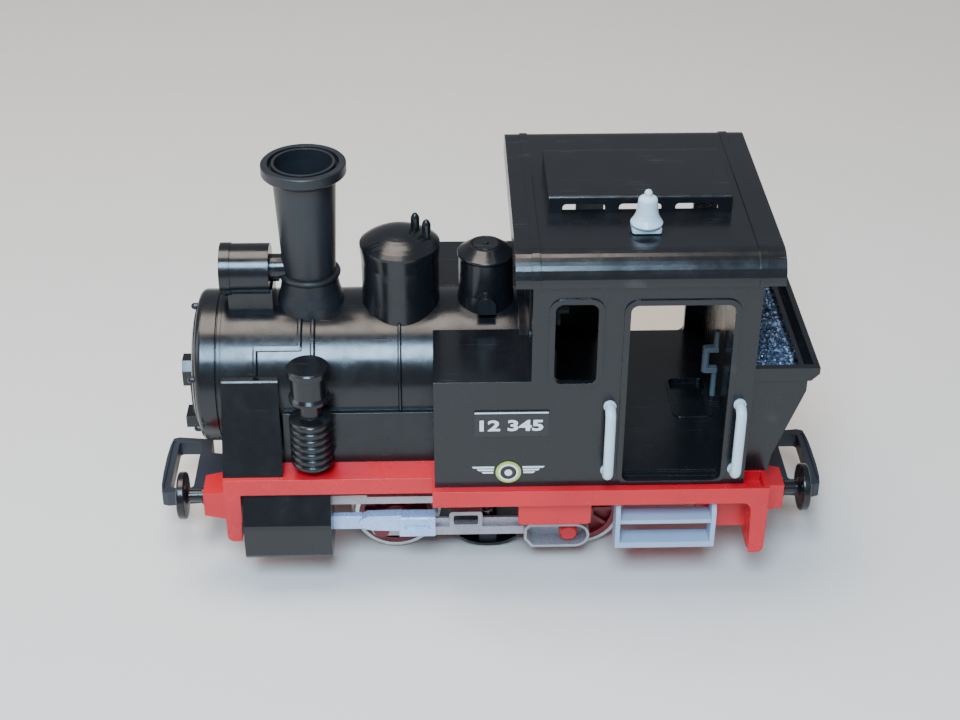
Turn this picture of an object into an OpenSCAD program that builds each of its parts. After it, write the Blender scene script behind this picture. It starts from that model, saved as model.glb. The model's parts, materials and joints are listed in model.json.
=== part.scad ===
// Toy tank locomotive, 0-4-0, for 45 mm gauge track.
// Frame: +Z up, z = 0 at the bottom of the wheel flanges, -X is the chimney end,
// -Y is the locomotive's left side. The origin is midway between the coupler tips.

/* [Running gear] */
// Distance between the two axles
wheelbase = 84; // [80:1:90]
// Tread diameter of the wheels
wheel_d = 38; // [35:0.5:40]
// How far the flanges stand out of the tread
flange_h = 1.6; // [1.2:0.1:2]
// Track gauge
gauge = 45; // [44:0.5:46]
// Throw of the crank pins
crank_r = 6.5; // [5.5:0.1:7]
// Angle of the left crank pins, from the rear, at rest
crank_deg = 193; // [180:1:200]
// How far the right cranks run ahead of the left ones
quarter_deg = 90; // [0:15:90]
// Radius of the axles
axle_r = 2; // [1.5:0.1:2.3]
// Running clearance, radial
run_gap = 0.06; // [0.03:0.01:0.09]
// Teeth on each worm wheel
worm_teeth = 20; // [18:1:22]
// Gear module
gear_module = 0.9; // [0.85:0.01:0.95]

/* [Frame] */
// Height of the top of the running board
deck_z = 60; // [58:1:63]
// Thickness of the running board
deck_t = 8; // [6:1:9]
// Half width of the running board beside the boiler
deck_front_hw = 53.7; // [52:0.1:56]
// Half width of the running board under tank and cab
deck_rear_hw = 64; // [63:0.5:67]
// Half length of the running board
deck_half_l = 117; // [115:1:122]
// Distance of the buffers from the centre line
buffer_y = 44; // [40:1:44]
// Height of the buffers
buffer_z = 45.3; // [44:0.1:46]
// Diameter of the buffer heads
buffer_d = 21; // [18:1:23]
// Distance of the coupler tips from the middle
coupler_tip = 151.5; // [148:0.5:158]
// Half width of the coupler loops
coupler_hw = 22; // [19:1:24]

/* [Boiler] */
// Diameter of the boiler
boiler_d = 68; // [64:1:69]
// Height of the boiler's axis
boiler_z = 85.2; // [83:0.1:88]
// Wall of the mouldings
wall = 2.2; // [1.6:0.1:2.8]
// Place of the chimney along the locomotive
chimney_x = -79; // [-82:1:-77]
// Height of the chimney rim
chimney_top = 184.7; // [176:1:200]
// Radius of the chimney rim
chimney_rim_r = 17.9; // [16:0.1:20]
// Place of the steam dome along the locomotive
steam_dome_x = -39.8; // [-44:0.1:-38]
// Radius of the steam dome
steam_dome_r = 17.3; // [14:0.1:18]
// Height of the steam dome
steam_dome_top = 152.6; // [146:0.1:160]
// Place of the sand dome along the locomotive
sand_dome_x = -2.8; // [-5:0.1:-2.4]
// Height of the sand dome
sand_dome_top = 145.4; // [140:0.1:154]
// Radius of the headlamp
lamp_r = 11.2; // [9:0.1:11.6]
// Height of the headlamp's axis
lamp_z = 133.9; // [132.5:0.1:137]

/* [Cab and tanks] */
// Half width over tanks and cab
body_hw = 60.4; // [58:0.1:61]
// Front end of the tanks
tank_x = -26; // [-30:1:-24]
// Height of the tank tops
tank_z = 113.4; // [108:0.2:116]
// Front wall of the cab
cab_front = 14.3; // [12:0.1:17]
// Rear wall of the cab
cab_rear = 106.1; // [104:0.1:109]
// Top of the cab walls
cab_top = 160; // [152:1:170]
// Height of the roof over the cab walls
roof_rise = 11.1; // [11:0.1:14]
// Half width of the roof
roof_hw = 62.6; // [62.6:0.1:66]
// Overhang of the roof, front and rear
roof_overhang = 7.6; // [5:0.1:9]
// Height of the roof hatch
hatch_h = 7.5; // [6:0.1:10]
// Height of the bell
bell_h = 16.4; // [12:0.1:20]
// Rear end of the bunker rim
bunker_end = 135; // [131:1:138]
// Half width of the bunker rim
bunker_hw = 52.6; // [48:0.1:53]

/* [Hidden] */
$fn = 64;

// Colours of the mouldings
BODY_BLACK = [0.07, 0.07, 0.08];
FRAME_RED = [0.80, 0.14, 0.15];
WHEEL_RED = [0.52, 0.08, 0.09];
ROD_GREY = [0.66, 0.66, 0.69];
CROSSHEAD_BLUE = [0.62, 0.70, 0.84];
RAIL_WHITE = [0.84, 0.90, 0.90];
STEP_GREY = [0.70, 0.75, 0.79];
STEEL = [0.72, 0.70, 0.68];

// Gap between bodies that move past each other
MOVE_GAP = 0.4;
// Length by which a cutting tool runs past the face it cuts
CUT = 1;

// --- wheels and axles
axle_z = wheel_d / 2 + flange_h;
front_axle_x = -2 - wheelbase / 2;
rear_axle_x = -2 + wheelbase / 2;
wheel_back = gauge / 2 - 2.3;
wheel_face = wheel_back + 6.8;
flange_t = 1.6;
tyre_t = 2.2;
wheel_centre_r = wheel_d / 2 - tyre_t;
hub_r = 6;
hub_face = wheel_face + 2;
pin_r = 2.5;
crank_boss_r = 4.4;
rod_in = wheel_face + 6;
rod_out = rod_in + 3.5;
rod_h = 4.4;
rod_eye_r = 4.6;
tray_lip = 6;
tray_back = 20;
tray_front = 9.4;
tray_hh = 6.4;
tray_wall = 1.2;
tray_drop = 0.5;
bar_drop = 1.6;
cap_r = 4.1;
cap_t = 5;

// --- drive
pitch_r = gear_module * worm_teeth / 2;
worm_pitch = PI * gear_module;
worm_mean_r = 3.2;
worm_ecc = 0.75;
worm_turns = 5;
worm_z = axle_z + pitch_r + worm_mean_r;
gear_tip = 0.4;
gear_root = 1;
gear_t = 2.5;
shaft_r = 1.25;
motor_r = 11;
motor_l = 30;
motor_x = -17;
rotor_r = 7;
block_front = front_axle_x - 14;
block_rear = rear_axle_x + 14;
block_hw = wheel_back - 2.7;
block_bottom = 7;
cover_t = 2.5;
bush_r = 4;
bush_l = 3.5;
gearbox_hl = 12;
pickup_x = (front_axle_x + rear_axle_x) / 2;
pickup_spring_y = -wheel_back - 3;
pickup_top = 17;

// --- frame
deck_bottom = deck_z - deck_t;
deck_step_x = tank_x - 1;
beam_t = 7;
beam_bottom = 38;
leg_front_bottom = 27;
leg_rear_bottom = 25;
leg_w_front = 7;
leg_w_rear = 7.2;
box_w = 15.7;
box_h = 14.4;
box_l = 9.5;
box_end = deck_half_l + box_l;
buffer_shaft_r = 2.7;
buffer_head_t = 3.7;
buffer_reach = 21.2;
buffer_spigot = 5;
coupler_top = 30;
coupler_h = 7.2;
coupler_pivot = 104;
coupler_bar = 4.6;
coupler_side = 3.4;
coupler_opening = 10.6;
coupler_root = 5;
coupler_arm_hw = 9.5;
coupler_pin_r = 2.5;

steps_x0 = 52;
steps_x1 = 95.4;

// --- cylinders and motion
piston_y = 42.5;
piston_z = 28.9;
piston_w = 3;
piston_h = 7;
crosshead_in = 39;
crosshead_out = 46;
crosshead_l = 16;
crosshead_z0 = 22.2;
crosshead_z1 = 32.4;
crosshead_mid = -27.7;
cylinder_front = -109.3;
cylinder_rear = -71.2;
slide_bar_z = 39.2;
slide_bar_h = 3.8;
slide_bar_front = cylinder_rear;
slide_bar_rear = -22;

// --- boiler
boiler_r = boiler_d / 2;
boiler_top = boiler_z + boiler_r;
smokebox_end = -128.6;
boiler_front = -deck_half_l - 0.2;
casing_top = boiler_z - 2.7;
casing_top_hw = boiler_r + 2.4;
casing_bottom_hw = boiler_r + 6.9;
side_box_x0 = -117;
side_box_x1 = -91.2;
side_box_top = 98.3;
side_box_top_hw = 34.8;
side_box_bottom_hw = 51.5;
collar_z = boiler_top + 14.5;
collar_r = 13.3;
tube_r0 = 11.4;
tube_r1 = chimney_rim_r - 4.6;
rim_h = 5;
tube_h = chimney_top - rim_h - 2.6 - collar_z;
lamp_front = -117;
lamp_rear = -95.8;
lamp_rim_r = lamp_r + 0.4;
lamp_bore_r = lamp_r - 1.3;
pump_x = -78.2;
pump_y = 46;
pump_top = 113.5;

// --- cab
roof_top = cab_top + roof_rise;
roof_front = cab_front - roof_overhang + 0.4;
roof_rear = cab_rear + roof_overhang + 0.5;
roof_edge_r = 10.6;
roof_lip_z = cab_top - 1.4;
roof_wall = 1.8;
roof_seat_gap = 0.1;
rib_h = 0.5;
floor_z = deck_z + 4;
door_x0 = 53.6;
door_x1 = 95.6;
door_z0 = deck_z + 2.6;
door_z1 = cab_top - 10.6;
window_x0 = 23.4;
window_x1 = 40.7;
window_z0 = tank_z - 0.8;
window_z1 = cab_top - 9.8;
frame_w = 2.5;
frame_proud = 0.7;
hatch_x0 = 22.2;
hatch_x1 = 97.7;
hatch_hw = 22.2;
bell_x = 60.8;
bell_y = -36.9;
rail_r = 2.2;
rail_stand = 6.2;
rail_front_x = 47;
rail_rear_x = 101;
rail_z0 = 68.4;
rail_z1 = 101.2;
bunker_rim_z = tank_z;
bunker_rim_h = 6.4;
bunker_body_hw = bunker_hw - 1.6;
brake_x = 101.3;
brake_y = 2;

// Points of an arc
function arc(cx, cy, r, a0, a1, n = 8) =
    [for (i = [0:n]) let (a = a0 + (a1 - a0) * i / n) [cx + r * cos(a), cy + r * sin(a)]];

// Outline of a rectangle with round corners, from (x0, y0) to (x1, y1)
function round_rect(x0, y0, x1, y1, r, n = 5) = concat(
    arc(x0 + r, y0 + r, r, 180, 270, n),
    arc(x1 - r, y0 + r, r, 270, 360, n),
    arc(x1 - r, y1 - r, r, 0, 90, n),
    arc(x0 + r, y1 - r, r, 90, 180, n));

// A shape drawn in the X-Z plane, made solid from y0 to y1
module along_y(y0, y1) {
    translate([0, y1, 0]) rotate([90, 0, 0]) linear_extrude(y1 - y0) children();
}

// A shape drawn in the Y-Z plane, made solid from x0 to x1
module along_x(x0, x1) {
    translate([x0, 0, 0]) rotate([90, 0, 90]) linear_extrude(x1 - x0) children();
}

module cyl_x(x0, x1, r, y = 0, z = 0) {
    translate([x0, y, z]) rotate([0, 90, 0]) cylinder(h = x1 - x0, r = r);
}

module cyl_y(y0, y1, r, x = 0, z = 0) {
    translate([x, y0, z]) rotate([-90, 0, 0]) cylinder(h = y1 - y0, r = r);
}

module block(x0, x1, y0, y1, z0, z1) {
    translate([x0, y0, z0]) cube([x1 - x0, y1 - y0, z1 - z0]);
}

// Both sides of the locomotive
module both_sides() {
    children();
    mirror([0, 1, 0]) children();
}

// Both ends of the locomotive, made at the front
module both_ends() {
    children();
    mirror([1, 0, 0]) children();
}

module boiler_solid(grow = 0) {
    cyl_x(-deck_half_l - 20, cab_front + 20, boiler_r + grow, 0, boiler_z);
}

// ---------------------------------------------------------------- frame

module buffer_box() {
    taper = 1.2;
    y0 = -buffer_y - box_w / 2;
    z0 = buffer_z - box_h / 2;
    hull() {
        block(-deck_half_l - 0.2, -deck_half_l + 1, y0, y0 + box_w, z0, z0 + box_h);
        block(-box_end, -box_end + 1, y0 + taper, y0 + box_w - taper, z0 + taper, z0 + box_h - taper);
    }
}

module frame_leg(x0, hw, bottom, depth, leg_w, radius) {
    along_y(-hw, -hw + depth)
        polygon(concat([[x0, deck_bottom + 1], [x0, bottom + 3]],
            arc(x0 + 3, bottom + 3, 3, 180, 270, 4),
            [[x0 + leg_w - 0.8, bottom], [x0 + leg_w, deck_bottom - radius]],
            arc(x0 + leg_w + radius, deck_bottom - radius, radius, 180, 90, 5),
            [[x0 + leg_w + radius, deck_bottom + 1]]));
}

module main_frame() color(FRAME_RED) {
    difference() {
        union() {
            block(-deck_half_l, deck_step_x + 1, -deck_front_hw, deck_front_hw, deck_bottom, deck_z);
            block(deck_step_x, deck_half_l, -deck_rear_hw, deck_rear_hw, deck_bottom, deck_z);
            block(-deck_half_l, -deck_half_l + beam_t, -deck_front_hw, deck_front_hw,
                beam_bottom, deck_bottom + 1);
            block(deck_half_l - beam_t, deck_half_l, -deck_rear_hw + 8, deck_rear_hw - 8,
                beam_bottom, deck_bottom + 1);
            both_sides() {
                frame_leg(-deck_half_l, deck_front_hw, leg_front_bottom, 6.5, leg_w_front, 0.5);
                mirror([1, 0, 0]) frame_leg(-deck_half_l, deck_rear_hw, leg_rear_bottom, 3, leg_w_rear, 4);
                // End plate with a slanted inner edge, behind the rear leg
                along_x(deck_half_l - leg_w_rear + 0.4, deck_half_l - 0.4)
                    polygon([[-deck_rear_hw + 2, deck_bottom + 1], [-deck_rear_hw + 2, leg_rear_bottom + 1.2],
                        [-deck_rear_hw + 3.4, leg_rear_bottom + 0.3], [-50, leg_rear_bottom + 0.3],
                        [-22, 46], [-22, deck_bottom + 1]]);
                both_ends() buffer_box();
                // Hanger over the rear end of the coupling rod
                along_y(-deck_rear_hw + 4, -deck_rear_hw + 7)
                    polygon(concat([[10, deck_bottom + 1], [10, 40.5]],
                        arc(11.5, 40.5, 1.5, 180, 270, 3), arc(39.9, 40.5, 1.5, 270, 360, 3),
                        [[41.4, deck_bottom + 1]]));
                // Round web behind the cab steps
                along_y(-51, -48) polygon(concat([[88, deck_bottom + 1], [88, 39]],
                    arc(97, 39, 9, 180, 270, 8), [[deck_half_l - 4, 30], [deck_half_l - 4, deck_bottom + 1]]));
            }
            both_ends() translate([-coupler_pivot, 0, coupler_top + MOVE_GAP])
                cylinder(h = deck_bottom + 1 - coupler_top - MOVE_GAP, r = 6);
        }
        // Room for the cab steps
        both_sides() block(steps_x0, steps_x1, -deck_rear_hw - CUT, -51, 30, deck_bottom);
        // Pockets beside the bunker
        both_sides() block(cab_rear + 1, deck_half_l - 2.2, -deck_rear_hw + 1.6, -bunker_body_hw - 1,
            deck_z - 5, deck_z + CUT);
        // Sockets of the buffers
        both_sides() both_ends() cyl_x(-box_end - CUT, -box_end + buffer_spigot,
            buffer_shaft_r, -buffer_y, buffer_z);
        // Sockets of the coupler pins
        both_ends() translate([-coupler_pivot, 0, coupler_top])
            cylinder(h = 10, r = coupler_pin_r);
    }
}

module buffer() {
    tip = box_end + buffer_reach - box_l;
    translate([-box_end + buffer_spigot, -buffer_y, buffer_z]) rotate([0, -90, 0])
        rotate_extrude() polygon(concat([[0, 0], [buffer_shaft_r, 0],
            [buffer_shaft_r, buffer_spigot], [buffer_shaft_r + 1.3, buffer_spigot],
            [buffer_shaft_r + 1.3, buffer_spigot + 1.2], [buffer_shaft_r, buffer_spigot + 1.2],
            [buffer_shaft_r, tip - box_end + buffer_spigot - buffer_head_t - 1],
            [buffer_shaft_r + 1.6, tip - box_end + buffer_spigot - buffer_head_t]],
            arc(buffer_d / 2 - 0.8, tip - box_end + buffer_spigot - buffer_head_t + 0.8, 0.8, 270, 360, 3),
            arc(buffer_d / 2 - 0.9, tip - box_end + buffer_spigot - 1.1, 0.9, 0, 80, 4),
            [[buffer_d / 4, tip - box_end + buffer_spigot - 0.1],
             [0, tip - box_end + buffer_spigot]]));
}

module front_buffers() color(BODY_BLACK) both_sides() buffer();

module rear_buffers() color(BODY_BLACK) mirror([1, 0, 0]) both_sides() buffer();

// Hook loop, its arm and the eye round the pivot pin, made at the front
module coupler() {
    z0 = coupler_top - coupler_h;
    bulge = 1.3;
    tip = coupler_tip;
    root_front = tip - coupler_bar - coupler_opening;
    root_rear = root_front - coupler_root;
    translate([0, 0, z0]) difference() {
        union() {
            linear_extrude(coupler_h) polygon([[-tip, -6], [-tip + 0.4, -coupler_hw + 7],
                [-tip + bulge, -coupler_hw + 1], [-tip + bulge + 2.6, -coupler_hw],
                [-root_rear, -coupler_hw + 2], [-root_rear, coupler_hw - 2],
                [-tip + bulge + 2.6, coupler_hw], [-tip + bulge, coupler_hw - 1],
                [-tip + 0.4, coupler_hw - 7], [-tip, 6]]);
            linear_extrude(coupler_h) polygon([[-root_rear - 1, -coupler_arm_hw],
                [-root_rear + 9, -coupler_arm_hw + 2], [-coupler_pivot, -7], [-coupler_pivot, 7],
                [-root_rear + 9, coupler_arm_hw - 2], [-root_rear - 1, coupler_arm_hw]]);
            translate([-coupler_pivot, 0, 0]) cylinder(h = coupler_h, r = 7.5);
        }
        translate([0, 0, -CUT]) linear_extrude(coupler_h + 2 * CUT)
            polygon(round_rect(-tip + coupler_bar, -coupler_hw + coupler_side + 0.8,
                -root_front, coupler_hw - coupler_side - 0.8, 1.6, 3));
        translate([-coupler_pivot, 0, -CUT]) cylinder(h = coupler_h + 2 * CUT, r = coupler_pin_r + run_gap);
        // Groove along the top of the bar
        translate([0, 0, coupler_h - 0.8]) linear_extrude(0.8 + CUT)
            polygon([[-tip + 1.5, -coupler_hw + 3.4], [-tip + 2.9, -coupler_hw + 3.4],
                [-tip + 2.9, coupler_hw - 3.4], [-tip + 1.5, coupler_hw - 3.4]]);
    }
}

module front_coupler() color([0.12, 0.13, 0.15]) coupler();

module rear_coupler() color([0.12, 0.13, 0.15]) mirror([1, 0, 0]) coupler();

module coupler_pins() color(STEEL) both_ends() translate([-coupler_pivot, 0, 0]) {
    translate([0, 0, coupler_top - coupler_h - MOVE_GAP])
        cylinder(h = coupler_h + MOVE_GAP + 10, r = coupler_pin_r);
    translate([0, 0, coupler_top - coupler_h - MOVE_GAP - 1.6]) cylinder(h = 1.6, r = 4.6);
}

// ---------------------------------------------------------------- cylinders and motion

module cylinder_block() {
    outline = [[-34, deck_bottom], [-50, deck_bottom], [-51.2, 51], [-57.6, 38], [-58, 36],
        [-57.7, 22], [-56.6, 20.2], [-52, 18.4], [-36, 18.4], [-34, 20]];
    difference() {
        along_x(cylinder_front, cylinder_rear) polygon(outline);
        block(cylinder_front + 6, cylinder_rear + CUT, -piston_y - piston_w / 2 - 0.3,
            -piston_y + piston_w / 2 + 0.3, piston_z - piston_h / 2 - 0.3, piston_z + piston_h / 2 + 0.3);
    }
}

module cylinder_left() color(BODY_BLACK) cylinder_block();

module cylinder_right() color(BODY_BLACK) mirror([0, 1, 0]) cylinder_block();

module slide_bars() color(ROD_GREY) both_sides() {
    bar_out = -44;
    bar_in = -38;
    block(slide_bar_front, slide_bar_rear, bar_out, bar_in, slide_bar_z, slide_bar_z + slide_bar_h);
    block(slide_bar_front, -56, bar_out, bar_in, slide_bar_z + slide_bar_h - CUT,
        slide_bar_z + slide_bar_h + 1);
    block(slide_bar_rear - 5, slide_bar_rear, bar_out, bar_in + 6, slide_bar_z, deck_bottom);
}

// Crosshead and piston rod in one piece, for crank angle a
module crosshead(a) {
    middle = crosshead_mid + crank_r * cos(a);
    x0 = middle - crosshead_l / 2;
    x1 = middle + crosshead_l / 2;
    slot_z = 27.2;
    rod_tip = cylinder_front + 22 - (crosshead_mid - crank_r - middle);
    difference() {
        union() {
            along_x(x0, x1) polygon(concat([[-crosshead_out, crosshead_z0], [-crosshead_in, crosshead_z0]],
                arc(-crosshead_in - 1, crosshead_z1 - 1, 1, 0, 90, 3),
                arc(-crosshead_out + 1.6, crosshead_z1 - 1.6, 1.6, 90, 180, 4)));
            // Stout rear part of the rod, pointed towards the cylinder
            along_y(-piston_y - 2.4, -piston_y + 2.4) polygon([[x0 + CUT, 24.4], [x0 + CUT, 33],
                [x0 - 14, 32.6], [x0 - 17, 31], [x0 - 18, piston_z], [x0 - 16, 26], [x0 - 12, 25]]);
        }
        hull() for (x = [x0 + 3.4, x1 - 3.4])
            cyl_y(-crosshead_out - CUT, -crosshead_out + 1, 1.1, x, slot_z);
    }
    block(rod_tip, x0 - 16.5, -piston_y - piston_w / 2, -piston_y + piston_w / 2,
        piston_z - piston_h / 2, piston_z + piston_h / 2);
}

module crosshead_left() color(CROSSHEAD_BLUE) crosshead(crank_deg);

module crosshead_right() color(CROSSHEAD_BLUE) mirror([0, 1, 0]) crosshead(crank_deg + quarter_deg);

// Coupling rod on crank pins at angle a, with the open tray round the rear pin
module coupling_rod(a) {
    dx = crank_r * cos(a);
    z = axle_z + crank_r * sin(a);
    bar_z = z - bar_drop;
    bar_top = bar_z + rod_h / 2;
    tray_z = z - tray_drop;
    xf = front_axle_x + dx;
    xr = rear_axle_x + dx;
    y0 = -rod_out;
    y1 = -rod_in;
    loop_x = xf + 30.5;
    difference() {
        union() {
            block(xf, xr - tray_back + 2, y0, y1, bar_z - rod_h / 2, bar_top);
            cyl_y(y0, y1, rod_eye_r, xf, z);
            // Thin web along the top edge
            block(xf + 6, xr - tray_back + 2, y1 - 1.3, y1, bar_z, bar_top + 3.4);
            // Small square loop on the top edge
            along_y(y0, y1)
                polygon(round_rect(loop_x, bar_top - 0.6, loop_x + 15, bar_top + 8.4, 1.6, 4));
            // Tray with a raised lip
            along_y(y0 - tray_lip, y1) polygon(concat(
                [[xr - tray_back, tray_z + tray_hh - 2.4], [xr - tray_back, tray_z - tray_hh + 4.6],
                 [xr - tray_back + 3.6, tray_z - tray_hh]],
                arc(xr + tray_front - tray_hh, tray_z, tray_hh, -90, 90, 10),
                [[xr - tray_back + 2, tray_z + tray_hh]]));
        }
        // Floor of the tray
        along_y(y0 - tray_lip - CUT, y1 - 1.5) polygon(concat(
            [[xr - tray_back + tray_wall, tray_z + tray_hh - 3], [xr - tray_back + tray_wall, tray_z - tray_hh + 5],
             [xr - tray_back + 4.2, tray_z - tray_hh + tray_wall]],
            arc(xr + tray_front - tray_hh, tray_z, tray_hh - tray_wall, -90, 90, 10),
            [[xr - tray_back + 2.8, tray_z + tray_hh - tray_wall]]));
        // Hole of the loop
        along_y(y0 - CUT, y1 + CUT)
            polygon(round_rect(loop_x + 2, bar_top + 1.2, loop_x + 13, bar_top + 6.4, 1, 3));
        for (x = [xf, xr])
            cyl_y(y0 - CUT, y1 + CUT, pin_r + run_gap, x, z);
    }
}

module rod_left() color(ROD_GREY) coupling_rod(crank_deg);

module rod_right() color(ROD_GREY) mirror([0, 1, 0]) coupling_rod(crank_deg + quarter_deg);

// ---------------------------------------------------------------- wheels

// Wheel centre with spokes and crank boss on the left side, crank at angle a
module wheel_centre(x, a, capped) {
    px = x + crank_r * cos(a);
    pz = axle_z + crank_r * sin(a);
    spokes = 10;
    rim_t = 2.4;
    web = 1.6;
    difference() {
        union() {
            cyl_y(-wheel_back - 3.4, -wheel_back, wheel_centre_r, x, axle_z);
            difference() {
                cyl_y(-wheel_face + 0.4, -wheel_back - 1, wheel_centre_r, x, axle_z);
                cyl_y(-wheel_face - CUT, -wheel_back - web, wheel_centre_r - rim_t, x, axle_z);
            }
            for (i = [0:spokes - 1])
                translate([x, 0, axle_z]) rotate([0, i * 360 / spokes, 0])
                    block(0, wheel_centre_r - rim_t + 0.6, -wheel_face + 1.2, -wheel_back - 1, -1, 1);
            cyl_y(-hub_face, -wheel_back, hub_r, x, axle_z);
            cyl_y(-wheel_face - 4, -wheel_back - 1, crank_boss_r, px, pz);
        }
        cyl_y(-hub_face - CUT, -wheel_back + CUT, axle_r, x, axle_z);
    }
    cyl_y(-rod_out - 0.2, -wheel_face - 3.5, pin_r, px, pz);
    if (!capped)
        cyl_y(-rod_out - MOVE_GAP - 1.2, -rod_out - MOVE_GAP + 0.2, pin_r + 1, px, pz);
}

// Cap pushed on the rear crank pin, crank at angle a
module crank_cap(a) {
    px = rear_axle_x + crank_r * cos(a);
    pz = axle_z + crank_r * sin(a);
    translate([px, -rod_out - 0.2, pz]) rotate([90, 0, 0]) rotate_extrude()
        polygon([[0, 0], [cap_r, 0], [cap_r, cap_t - 0.8], [cap_r - 0.8, cap_t], [0, cap_t]]);
}

module crank_caps() color(FRAME_RED) {
    crank_cap(crank_deg);
    mirror([0, 1, 0]) crank_cap(crank_deg + quarter_deg);
}

module wheel_pair(x, capped) {
    wheel_centre(x, crank_deg, capped);
    mirror([0, 1, 0]) wheel_centre(x, crank_deg + quarter_deg, capped);
}

module tyre_pair(x) {
    both_sides() translate([x, -wheel_back, axle_z]) rotate([90, 0, 0]) rotate_extrude()
        polygon([[wheel_centre_r, 0], [wheel_d / 2 + flange_h - 0.5, 0], [wheel_d / 2 + flange_h, 0.5],
            [wheel_d / 2 + flange_h, flange_t - 0.5], [wheel_d / 2 + 0.2, flange_t + 0.4],
            [wheel_d / 2, flange_t + 1], [wheel_d / 2 - 0.25, wheel_face - wheel_back - 0.4],
            [wheel_d / 2 - 0.6, wheel_face - wheel_back], [wheel_centre_r, wheel_face - wheel_back]]);
}

// Axle with its worm wheel, a tooth pointing straight up at rest
module axle(x) {
    tip_hw = 0.3;
    root_hw = 0.55;
    cyl_y(-hub_face, hub_face, axle_r, x, axle_z);
    translate([x, 0, axle_z]) {
        cyl_y(-gear_t / 2, gear_t / 2, pitch_r - gear_root);
        for (i = [0:worm_teeth - 1])
            rotate([0, i * 360 / worm_teeth, 0]) along_y(-gear_t / 2, gear_t / 2)
                polygon([[-root_hw, pitch_r - gear_root - 0.6], [root_hw, pitch_r - gear_root - 0.6],
                    [root_hw, pitch_r - gear_root], [tip_hw, pitch_r + gear_tip],
                    [-tip_hw, pitch_r + gear_tip], [-root_hw, pitch_r - gear_root]]);
        cyl_y(-gear_t / 2 - 4, gear_t / 2 + 4, 3.6);
    }
}

module front_wheels() color(WHEEL_RED) wheel_pair(front_axle_x, false);

module rear_wheels() color(WHEEL_RED) wheel_pair(rear_axle_x, true);

module front_tyres() color(STEEL) tyre_pair(front_axle_x);

module rear_tyres() color(STEEL) tyre_pair(rear_axle_x);

module front_axle() color(STEEL) axle(front_axle_x);

module rear_axle() color(STEEL) axle(rear_axle_x);

// ---------------------------------------------------------------- drive

module motor_block() color([0.10, 0.10, 0.11]) difference() {
    block(block_front, block_rear, -block_hw, block_hw, block_bottom, deck_bottom);
    // Gear chambers, open below
    for (x = [front_axle_x, rear_axle_x]) {
        block(x - gearbox_hl, x + gearbox_hl, -block_hw + bush_l, block_hw - bush_l,
            block_bottom - CUT, worm_z + 6);
        // Seats of the bushes
        cyl_y(-block_hw - CUT, block_hw + CUT, bush_r, x, axle_z);
        block(x - bush_r, x + bush_r, -block_hw - CUT, block_hw + CUT, block_bottom - CUT, axle_z);
    }
    // Motor bay, open below
    cyl_x(motor_x, motor_x + motor_l, motor_r, 0, worm_z);
    block(motor_x, motor_x + motor_l, -motor_r, motor_r, block_bottom - CUT, worm_z);
    // Shaft tunnel
    cyl_x(front_axle_x, rear_axle_x, shaft_r + 1, 0, worm_z);
    // Screw holes
    for (x = screw_places) translate([x, 0, block_bottom - CUT]) cylinder(h = 9, r = 1);
}

screw_places = [block_front + 1 + 0.9, motor_x - 5, motor_x + motor_l + 5, block_rear - 1 - 0.9];

module block_cover() color([0.12, 0.12, 0.13]) difference() {
    union() {
        block(block_front, block_rear, -block_hw, block_hw, block_bottom - cover_t, block_bottom);
        for (x = [front_axle_x, rear_axle_x]) both_sides()
            difference() {
                block(x - bush_r, x + bush_r, -block_hw, -block_hw + bush_l, block_bottom - 0.5, axle_z);
                cyl_y(-block_hw - CUT, -block_hw + bush_l + CUT, bush_r, x, axle_z);
            }
    }
    for (x = screw_places) translate([x, 0, block_bottom - cover_t - CUT]) {
        cylinder(h = cover_t + 2 * CUT, r = 1);
        cylinder(h = CUT + 1, r = 1.9);
    }
}

module cover_screws() color(STEEL) for (x = screw_places)
    translate([x, 0, block_bottom - cover_t]) difference() {
        union() {
            cylinder(h = cover_t + 7.5, r = 1);
            cylinder(h = 1, r = 1.9);
        }
        translate([-2.5, -0.3, -CUT]) cube([5, 0.6, CUT + 0.5]);
    }

module axle_bushes() color([0.75, 0.60, 0.30]) for (x = [front_axle_x, rear_axle_x])
    both_sides() difference() {
        cyl_y(-block_hw, -block_hw + bush_l, bush_r, x, axle_z);
        cyl_y(-block_hw - CUT, -block_hw + bush_l + CUT, axle_r + run_gap, x, axle_z);
    }

module motor_can() color([0.60, 0.61, 0.63]) difference() {
    cyl_x(motor_x, motor_x + motor_l, motor_r, 0, worm_z);
    cyl_x(motor_x + 1.5, motor_x + motor_l - 1.5, motor_r - 1.2, 0, worm_z);
    cyl_x(motor_x - CUT, motor_x + motor_l + CUT, shaft_r + run_gap, 0, worm_z);
}

// Helical worm centred on x, its groove facing straight down there
module worm(x) {
    length = worm_turns * worm_pitch;
    translate([x - length / 2, 0, worm_z]) rotate([0, 90, 0])
        linear_extrude(length, twist = 360 * worm_turns, slices = 12 * worm_turns, $fn = 14)
            translate([worm_ecc, 0]) circle(worm_mean_r, $fn = 14);
}

module armature() color([0.55, 0.45, 0.35]) {
    cyl_x(front_axle_x - 10, rear_axle_x + 10, shaft_r, 0, worm_z);
    cyl_x(motor_x + 6, motor_x + motor_l - 9, rotor_r, 0, worm_z);
    cyl_x(motor_x + motor_l - 6, motor_x + motor_l - 2, 3.4, 0, worm_z);
    worm(front_axle_x);
    worm(rear_axle_x);
}

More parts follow.
